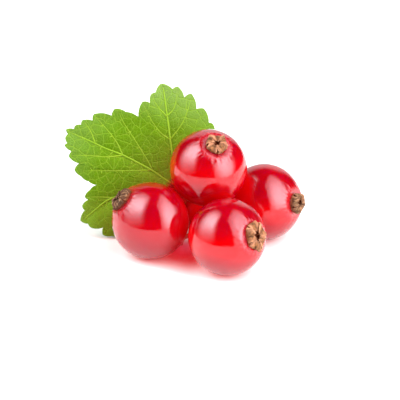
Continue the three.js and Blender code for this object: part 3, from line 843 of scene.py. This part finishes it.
def make_berry(name, material, settings):
    """One berry, spun from its outline, puckered, set in place and flattened where it bears."""
    berry = BERRIES[name]
    bm = bmesh.new()
    spin_outline(bm, berry_outline(settings), settings.segments)
    bm.verts.layers.float_vector.new("own_place")
    bm.verts.layers.float.new("painted_glow")
    bm.verts.layers.float.new("nook")
    place = bm.verts.layers.float_vector["own_place"]
    for vert in bm.verts:
        vert[place] = vert.co / BERRY_RADIUS
        vert.co = puckered(vert.co)
    bmesh.ops.transform(bm, matrix=berry_frame(berry), verts=bm.verts)
    lit, nook = (bm.verts.layers.float[layer] for layer in ("painted_glow", "nook"))
    # painted glow: a band a little above each berry's middle, and its nooks, get the brighter red
    for vert in bm.verts:
        level = (vert.co.z - berry["at"].z) / (BERRY_RADIUS * berry["size"])
        apart = level - LIT_BAND["level"]
        spread = LIT_BAND["above"] if apart > 0 else LIT_BAND["below"]
        vert[nook] = nook_depth(vert.co, name)
        painted_glow_share = max(math.exp(-((apart / spread) ** 2)), NOOK["lit"] * vert[nook])
        vert[lit] = min(1, berry["glow"] * painted_glow_share)
        vert.co.z = max(vert.co.z, 0)
    finish_piece(bm, f"ripe_berry_{name}", material, f"berry_{name}")


# ---------------------------------------------------------------- calyxes


def crumpled(point, amount, seed):
    """A point pushed about by two sizes of crumple."""
    shift = Vector((seed * 3.1, seed * 1.7, seed * 2.3))
    large = noise.noise_vector(point * 1.1 + shift)
    small = noise.noise_vector(point * 3.4 + shift)
    return point + amount * (large + 0.4 * small)


def grow_sepal(bm, angle, lift, settings, seed):
    """One broad dry sepal, hollow between its raised rims, folded in over the mouth of the cup."""
    along, across = 16, 12
    rows = smooth_route(SEPAL_ROWS, along)
    rim, painted_fold_shade = (bm.verts.layers.float[name] for name in ("rim", "painted_fold_shade"))
    strand_place = bm.verts.layers.float_vector["strand_place"]
    before = set(bm.verts)
    bmesh.ops.create_grid(bm, x_segments=across, y_segments=along, size=1)
    verts = [vert for vert in bm.verts if vert not in before]
    grown = set(verts)
    faces = [face for face in bm.faces if all(vert in grown for vert in face.verts)]
    turned = Matrix.Rotation(angle, 3, "Z")
    for vert in verts:
        share, side = (vert.co.y + 1) / 2, vert.co.x
        row = min(round(share * along), along)
        radius, height, width = rows[row]
        step = rows[min(row + 1, along)] - rows[max(row - 1, 0)]
        outward = Vector((step.y, 0, -step.x)).normalized()
        tip = max(0, share - 0.7) / 0.3  # 0 up to the last third of the sepal, 1 at its point
        y = width * side * (1 - 0.3 * tip**3)
        place = Vector((radius - 0.3 * y * y, y, height * lift))
        place += outward * SEPAL_RIM * (side * side - 0.3 + 0.25 * math.sin(4 * share + seed) * side)
        vert.co = crumpled(turned @ place + Vector((0, 0, SCAR_REACH)), SEPAL_CRUMPLE, seed)
        vert[rim] = max(abs(side), tip) ** 2.4
        vert[strand_place] = (side * (1 - 0.5 * share), STRAND_STRETCH * share, seed)
        # painted shade at the sepal's foot, deep in the cup
        vert[painted_fold_shade] = 0.45 * max(0, 0.3 - share) / 0.3
    bmesh.ops.recalc_face_normals(bm, faces=faces)
    bmesh.ops.solidify(bm, geom=faces, thickness=settings.thickness / MM)


def make_calyx(name, material, settings):
    """A withered calyx: a cup painted dark with shade, its dry sepals folded in over it and some stamens
    left.
    """
    berry = BERRIES[name]
    noise.seed_set(settings.seed)
    bm = bmesh.new()
    bm.verts.layers.float.new("rim")
    bm.verts.layers.float_vector.new("strand_place")
    painted_fold_shade = bm.verts.layers.float.new("painted_fold_shade")
    spin_outline(bm, [(radius, 0, SCAR_REACH + height) for radius, height in CUP_PROFILE], CUP_SIDES)
    for vert in bm.verts:
        # painted shade: the cup darker toward its middle
        vert[painted_fold_shade] = min(1, max(0.5, (1.6 - math.hypot(vert.co.x, vert.co.y)) / 0.4))
        vert.co = crumpled(vert.co, CUP_CRUMPLE, berry["spin"])
    bmesh.ops.edgeloop_fill(bm, edges=[edge for edge in bm.edges if edge.is_boundary])
    for i in range(SEPALS):
        angle = math.radians(berry["spin"]) + 2 * math.pi * i / SEPALS
        grow_sepal(bm, angle, SEPAL_LIFTS[i], settings, i + berry["spin"] / 7)
    for i in range(STAMENS):
        reach = heading(100 * i + berry["spin"], 70 - 9 * i) * STAMEN_LENGTH
        foot = Vector((0.12 * math.cos(2 * i), 0.12 * math.sin(2 * i), SCAR_REACH))
        bend = foot + 0.55 * reach + 0.1 * heading(80 * i, 0)
        # painted shade on the stamens, deep in the cup
        grow_tube(bm, (foot, bend, foot + reach), STAMEN_RADII, 6, 6, mark=("painted_fold_shade", 0.7))
    broad, long = berry["calyx"]
    scar = Matrix.Translation((0, 0, -SCAR_REACH))
    bmesh.ops.scale(bm, vec=(broad, long, broad), space=scar, verts=bm.verts)
    bmesh.ops.transform(bm, matrix=berry_frame(berry), verts=bm.verts)
    piece = finish_piece(bm, f"dry_calyx_{name}", material, f"calyx_{name}")
    write_mask(piece.data, "age", [berry["age"]] * len(piece.data.vertices))


# ---------------------------------------------------------------- leaf


def leaf_frame():
    """From the flat blade's frame to its place."""
    return Matrix.Translation(on_sprig(LEAF_BASE)) @ Matrix.Rotation(math.radians(LEAF_PITCH), 4, "X")


def leaf_edge():
    """The edge of the flat blade, each tooth's sides swelling a little."""
    corners = RIGHT_LOBE + UPPER_LOBE + MIDDLE_LOBE + LOWER_LOBE + LEFT_LOBE
    points = [Vector((r * math.cos(math.radians(a)), r * math.sin(math.radians(a)))) for a, r in corners]
    edge = []
    for point, following in zip(points, points[1:] + points[:1]):
        side = following - point
        steps = max(3, round(side.length / EDGE_STEP))
        swell = Vector((side.y, -side.x)) * TOOTH_SWELL
        for i in range(steps):
            t = i / steps
            edge.append(point + side * t + swell * 4 * t * (1 - t))
    return edge


def distance_to_veins(x, y, veins):
    """From each point to the nearest vein."""
    nearest = np.full(x.shape, np.inf)
    for vein in veins:
        for (ax, ay), (bx, by) in zip(vein, vein[1:]):
            dx, dy = bx - ax, by - ay
            t = np.clip(((x - ax) * dx + (y - ay) * dy) / (dx * dx + dy * dy), 0, 1)
            nearest = np.minimum(nearest, np.hypot(x - ax - t * dx, y - ay - t * dy))
    return nearest


def leaf_height(x, y):
    """How far the blade's middle surface stands from its flat pattern."""
    radius, angle = np.hypot(x, y), np.arctan2(y, x)
    nearest = distance_to_veins(x, y, MAIN_VEINS)
    pleat = np.exp(-((nearest / VEIN_FOLD["width"]) ** 2)) * np.minimum(radius / VEIN_FOLD["start"], 1)
    height = WAVE["slope"] * radius * np.sin(WAVE["number"] * angle + WAVE["phase"])
    height -= VEIN_FOLD["depth"] * pleat
    height -= EDGE_ROLL["rate"] * np.maximum(radius - EDGE_ROLL["start"], 0) ** 2
    height -= BEND_RIGHT * np.maximum(x, 0) ** 2
    height -= BEND_LOW * np.minimum(y, 0) ** 2
    clear = BERRY_RADIUS + CAD_LEAF_THICK / 2 + LEAF_CLEARANCE
    back = leaf_frame().inverted()
    for name in BEFORE_LEAF:
        centre = back @ BERRIES[name]["at"]
        apart = np.hypot(x - centre.x, y - centre.y)
        cap = centre.z - np.sqrt(np.maximum(clear**2 - apart**2, 0))
        height = np.where(apart < clear, np.minimum(height, cap), height)
    return height


def flat_blade():
    """The blade's flat pattern, as rings inside its edge: one sheet for the face, one for the back."""
    bm = bmesh.new()
    outline = leaf_edge()
    ring = bmesh.ops.create_circle(bm, segments=len(outline), radius=1)["verts"]
    for vert, point in zip(ring, outline):
        vert.co = (point.x, point.y, 0)
    edges = bm.edges[:]
    shares = [1 - i / LEAF_RINGS for i in range(LEAF_RINGS)]
    for outer, inner in zip(shares, shares[1:]):
        verts, edges = extrude_ring(bm, edges)
        bmesh.ops.scale(bm, vec=(inner / outer, inner / outer, 1), verts=verts)
    bmesh.ops.collapse(bm, edges=edges)
    bmesh.ops.recalc_face_normals(bm, faces=bm.faces)
    copy = bmesh.ops.duplicate(bm, geom=bm.verts[:] + bm.edges[:] + bm.faces[:])["geom"]
    back = [item for item in copy if isinstance(item, bmesh.types.BMVert)]
    bmesh.ops.translate(bm, vec=(0, 0, -1), verts=back)
    bmesh.ops.bridge_loops(bm, edges=[edge for edge in bm.edges if edge.is_boundary])
    return bm


def shape_blade(mesh, settings):
    """Gives the flat sheets their waves, thickness and grooves, and writes the blade's masks."""
    co = point_places(mesh)
    x, y, back = co[:, 0].copy(), co[:, 1].copy(), co[:, 2] < -0.5
    groove = 0
    for kind in VEIN_KINDS:
        depth, width = kind["groove"]
        groove = groove + depth * np.exp(-((distance_to_veins(x, y, kind["veins"]) / width) ** 2))
    half = settings.thickness / MM / 2
    co[:, 2] = leaf_height(x, y) - groove + np.where(back, -half, half)
    mesh.vertices.foreach_set("co", co.ravel())
    radius = np.hypot(x, y)
    # painted light on the upper lobe, the foot and the low part, as paler green; the tips' paler green is
    # their own
    upper = np.clip((y - 7.5 + 0.25 * x) / 4.5, 0, 1)
    tip = np.clip((radius - 11) / 5, 0, 1)
    foot = np.exp(-((radius / 5.5) ** 2))
    low = np.clip(-y / 3, 0, 1)
    pale_tips_and_painted_light = PALE_TIPS_AND_PAINTED_LIGHT["upper"] * upper + PALE_TIPS_AND_PAINTED_LIGHT["tip"] * tip + PALE_TIPS_AND_PAINTED_LIGHT["foot"] * foot + PALE_TIPS_AND_PAINTED_LIGHT["low"] * low
    write_mask(mesh, "pale_tips_and_painted_light", np.clip(pale_tips_and_painted_light, 0, 1))
    # painted sheen on the upper lobe, with the tips' own bloom
    write_mask(mesh, "bloom_and_painted_sheen", np.clip(BLOOM_AND_PAINTED_SHEEN["tip"] * tip + BLOOM_AND_PAINTED_SHEEN["upper"] * upper, 0, 1))
    for name in ("vein", "flush"):
        mesh.attributes.new(name, "FLOAT", "POINT")


def add_flat_map(mesh):
    """The flat pattern as a UV map."""
    layer = mesh.uv_layers.new(name=FLAT_MAP["name"])
    corners = np.empty(len(mesh.loops), int)
    mesh.loops.foreach_get("vertex_index", corners)
    flat = point_places(mesh)[corners, :2] / FLAT_MAP["unit"] + 1
    layer.data.foreach_set("uv", flat.ravel())


def grow_veins(bm, settings):
    """Raised veins on the face and ribs on the back of the blade."""
    half = settings.thickness / MM / 2
    for kind in VEIN_KINDS:
        for points in kind["veins"]:
            steps = 4 * (len(points) - 1)
            flat = smooth_route([(x, y, 0) for x, y in points], steps)
            height = leaf_height(np.array([p.x for p in flat]), np.array([p.y for p in flat]))
            for lift, radii in ((half - FACE_SUNK, kind["face"]), (-half - BACK_RAISED, kind["back"])):
                route = [(p.x, p.y, h + lift) for p, h in zip(flat, height)]
                grow_tube(bm, route, radii, 8, steps, mark=("vein", 1))


def make_leaf(material, settings):
    """The blade with its veins and stalk, as one piece."""
    flat = flat_blade()
    mesh = bpy.data.meshes.new("leaf")
    flat.to_mesh(mesh)
    flat.free()
    add_flat_map(mesh)
    shape_blade(mesh, settings)
    bm = bmesh.new()
    bm.from_mesh(mesh)
    grow_veins(bm, settings)
    bmesh.ops.transform(bm, matrix=leaf_frame(), verts=bm.verts)
    grow_tube(bm, [on_sprig(p) for p in PETIOLE], PETIOLE_RADII, 16, 24, mark=("vein", 0.8))
    # painted red light from the berries, round the blade's foot near the left and top berries
    flush = bm.verts.layers.float["flush"]
    for vert in bm.verts:
        apart = (vert.co - on_sprig(PAINTED_RED_LIGHT_ON_LEAF["middle"])).length
        vert[flush] = limited((PAINTED_RED_LIGHT_ON_LEAF["reach"] - apart) / PAINTED_RED_LIGHT_ON_LEAF["edge"])
    finish_piece(bm, "lobed_leaf", material, "leaf")


# ---------------------------------------------------------------- strig


def grow_bract(bm, foot, toward):
    """The small pointed scale that hugs a stalk's foot."""
    scale = bmesh.new()
    grow_tube(scale, BRACT["route"], BRACT["radii"], 14, 12)
    lifted = Matrix.Translation((0, -BRACT["lift"], 0))
    bmesh.ops.scale(scale, vec=(1, BRACT["flat"], 1), space=lifted, verts=scale.verts)
    turned = toward.to_track_quat("Z", "Y").to_matrix().to_4x4()
    bmesh.ops.transform(scale, matrix=Matrix.Translation(foot) @ turned, verts=scale.verts)
    pour(scale, bm)


def make_strig(material, settings):
    """The axis with its pedicels, bracts and the heel, as one piece."""
    noise.seed_set(STRIG_SEED)
    bm = bmesh.new()
    axis = [settings.axis / MM * share for share in AXIS_TAPER]
    stalk = [settings.pedicel / MM * share for share in PEDICEL_TAPER]
    for route, radii, sides, steps in (
        (AXIS, axis, 16, 24), (HEEL, HEEL_RADII, 20, 12), (PETIOLE_FOOT, PETIOLE_FOOT_RADII, 16, 8)
    ):
        grow_tube(bm, [on_sprig(p) for p in route], radii, sides, steps)
    for name, route in PEDICELS.items():
        start = berry_frame(BERRIES[name]) @ Vector((0, 0, PEDICEL_SUNK - STEM_REACH))
        points = [start, *(on_sprig(p) for p in route)]
        grow_tube(bm, points, stalk, 14, 20)
        grow_bract(bm, points[-1], points[-2] - points[-1])
    flush = bm.verts.layers.float.new("flush")
    for vert in bm.verts:
        nearest = min(
            (vert.co - berry["at"]).length - BERRY_RADIUS * berry["size"] for berry in BERRIES.values()
        )
        from_petiole = (vert.co - on_sprig(PETIOLE[-1])).length / PETIOLE_BLEND
        red = limited(STRIG_FLUSH["start"] - nearest / STRIG_FLUSH["reach"])
        vert[flush] = red * min(1, from_petiole**2)
        vert.co = crumpled(vert.co, STRIG_CRUMPLE, 1)
        vert.co.z = max(vert.co.z, 0)
    finish_piece(bm, "branched_strig", material, "strig")


# ---------------------------------------------------------------- stage


def make_floor(settings):
    """A round sheet of plain paper."""
    bm = bmesh.new()
    bmesh.ops.create_circle(bm, cap_ends=True, segments=96, radius=FLOOR_RADIUS)
    bmesh.ops.translate(bm, vec=(0, 0, -FLOOR_DROP), verts=bm.verts)
    add_object(bm, "floor", floor_paper(settings))


def make_camera(settings):
    """A long lens that looks down on the sprig."""
    data = bpy.data.cameras.new("camera")
    camera = bpy.data.objects.new("camera", data)
    bpy.context.scene.collection.objects.link(camera)
    width = IMAGE_WIDTH / settings.scale * MM
    data.lens = data.sensor_width * settings.distance / width
    data.clip_start = 0.01
    aim = (FRONT_FOOT + AIM) * MM
    back = Vector((0, -math.cos(settings.elevation), math.sin(settings.elevation)))
    camera.location = aim + back * settings.distance
    camera.rotation_euler = back.to_track_quat("Z", "Y").to_euler()
    bpy.context.scene.camera = camera


def falloff(tree, value, middle, spread):
    """How far a value is from the middle, squared, in spreads of its own for below and above."""
    apart = subtract(tree, value, middle)
    below = calculate(tree, "DIVIDE", calculate(tree, "MINIMUM", apart, 0.0), spread[0])
    above = calculate(tree, "DIVIDE", calculate(tree, "MAXIMUM", apart, 0.0), spread[1])
    return add(tree, calculate(tree, "POWER", below, 2.0), calculate(tree, "POWER", above, 2.0))


def soft_panel(tree, direction, panel):
    """The glow of a flat softbox as seen in a direction, brightest in its hot spot."""
    forward = heading(panel["bearing"] - 90, panel["height"])
    aside = Vector((0, 0, 1)).cross(forward).normalized()
    roll = Matrix.Rotation(math.radians(panel["roll"]), 3, forward)
    axes = (roll @ aside, roll @ forward.cross(aside))
    toward = compare(tree, "DOT_PRODUCT", direction, forward)
    shape = calculate(tree, "GREATER_THAN", toward, EDGE_ON)
    nearness = calculate(tree, "MAXIMUM", toward, EDGE_ON)
    away = 0.0
    reaches, spreads = (panel["across"], panel["upward"]), (panel["wide"], panel["tall"])
    for axis, reach, edge, spot, spread in zip(axes, reaches, panel["edges"], panel["spot"], spreads):
        place = calculate(tree, "DIVIDE", compare(tree, "DOT_PRODUCT", direction, axis), nearness)
        inside = smooth_step(tree, place, reach[0] - edge[0] / 2, reach[0] + edge[0] / 2)
        beyond = smooth_step(tree, place, reach[1] - edge[1] / 2, reach[1] + edge[1] / 2)
        shape = multiply(tree, shape, multiply(tree, inside, subtract(tree, 1.0, beyond)))
        away = add(tree, away, falloff(tree, place, spot, spread))
    hot = calculate(tree, "EXPONENT", multiply(tree, away, -1.0))
    dim, bright = panel["glow"]
    return multiply(tree, shape, add(tree, multiply(tree, hot, bright - dim), dim))


def make_light():
    """Two big softboxes and a pale backdrop round a dark room, which the camera sees as plain grey."""
    world = bpy.data.worlds.new("studio")
    bpy.context.scene.world = world
    world.use_nodes = True
    tree = world.node_tree
    tree.nodes.clear()
    direction = add_node(tree, "ShaderNodeTexCoord").outputs["Generated"]
    x, y, z = add_node(tree, "ShaderNodeSeparateXYZ", {0: direction}).outputs
    total = ROOM_GLOW
    for panel in SOFTBOXES:
        total = add(tree, total, soft_panel(tree, direction, panel))
    degrees = 180 / math.pi
    height = multiply(tree, calculate(tree, "ARCSINE", z), degrees)
    bearing = multiply(tree, calculate(tree, "ARCTAN2", x, multiply(tree, y, -1.0)), degrees)
    limit, edge = BACKDROP["bearing"], BACKDROP["edge"]
    behind = smooth_step(tree, calculate(tree, "ABSOLUTE", bearing), limit - edge, limit + edge)
    above = smooth_step(tree, height, BACKDROP["height"] - edge, BACKDROP["height"] + edge)
    low = multiply(tree, behind, subtract(tree, 1.0, above))
    total = add(tree, total, multiply(tree, low, BACKDROP["glow"]))
    seen = add_node(tree, "ShaderNodeLightPath").outputs["Is Camera Ray"]
    strength = add_node(tree, "ShaderNodeMix", {0: seen, 2: total, 3: FAR_GREY}, data_type="FLOAT")
    inputs = {"Color": (1, 1, 1, 1), "Strength": strength.outputs[0]}
    background = add_node(tree, "ShaderNodeBackground", inputs)
    add_node(tree, "ShaderNodeOutputWorld", {"Surface": background.outputs[0]})


# ---------------------------------------------------------------- operators


class SPRIG_OT_stage(bpy.types.Operator):
    """Adds the floor, the studio light and the camera"""

    bl_idname = "sprig.stage"
    bl_label = "Stage"

    def execute(self, context):
        settings = context.scene.sprig_stage
        make_camera(settings)
        make_floor(settings)
        make_light()
        context.scene.view_settings.view_transform = "Standard"
        return {"FINISHED"}


class SPRIG_OT_berries(bpy.types.Operator):
    """Adds the ripe berries"""

    bl_idname = "sprig.berries"
    bl_label = "Berries"

    def execute(self, context):
        settings = context.scene.sprig_berries
        material = berry_skin(settings)
        for name in BERRIES:
            make_berry(name, material, settings)
        return {"FINISHED"}


class SPRIG_OT_calyxes(bpy.types.Operator):
    """Adds the withered calyx on each berry"""

    bl_idname = "sprig.calyxes"
    bl_label = "Calyxes"

    def execute(self, context):
        settings = context.scene.sprig_calyxes
        material = withered_calyx(settings)
        for name in BERRIES:
            make_calyx(name, material, settings)
        return {"FINISHED"}


class SPRIG_OT_leaf(bpy.types.Operator):
    """Adds the lobed leaf with its veins and stalk"""

    bl_idname = "sprig.leaf"
    bl_label = "Leaf"

    def execute(self, context):
        settings = context.scene.sprig_leaf
        make_leaf(leaf_blade(settings), settings)
        return {"FINISHED"}


class SPRIG_OT_strig(bpy.types.Operator):
    """Adds the branched stem that carries the berries"""

    bl_idname = "sprig.strig"
    bl_label = "Strig"

    def execute(self, context):
        settings = context.scene.sprig_strig
        make_strig(green_stalk(settings), settings)
        return {"FINISHED"}


class SPRIG_PT_panel(bpy.types.Panel):
    """Lists the sprig's pieces and their settings"""

    bl_idname = "SPRIG_PT_panel"
    bl_label = "Redcurrant Sprig"
    bl_space_type = "VIEW_3D"
    bl_region_type = "UI"
    bl_category = "Redcurrant"

    def draw(self, context):
        for operator, holder, _ in PARTS:
            box = self.layout.box()
            box.operator(operator.bl_idname)
            settings = getattr(context.scene, holder)
            for name in settings.__annotations__:
                box.prop(settings, name)


PARTS = (
    (SPRIG_OT_stage, "sprig_stage", StageSettings),
    (SPRIG_OT_berries, "sprig_berries", BerrySettings),
    (SPRIG_OT_calyxes, "sprig_calyxes", CalyxSettings),
    (SPRIG_OT_leaf, "sprig_leaf", LeafSettings),
    (SPRIG_OT_strig, "sprig_strig", StrigSettings),
)


def register():
    for operator, holder, settings in PARTS:
        bpy.utils.register_class(settings)
        setattr(bpy.types.Scene, holder, PointerProperty(type=settings))
        bpy.utils.register_class(operator)
    bpy.utils.register_class(SPRIG_PT_panel)


def unregister():
    bpy.utils.unregister_class(SPRIG_PT_panel)
    for operator, holder, settings in reversed(PARTS):
        bpy.utils.unregister_class(operator)
        delattr(bpy.types.Scene, holder)
        bpy.utils.unregister_class(settings)


def main():
    register()
    bpy.ops.sprig.stage()
    bpy.ops.sprig.berries()
    bpy.ops.sprig.calyxes()
    bpy.ops.sprig.leaf()
    bpy.ops.sprig.strig()


if __name__ == "__main__":
    main()
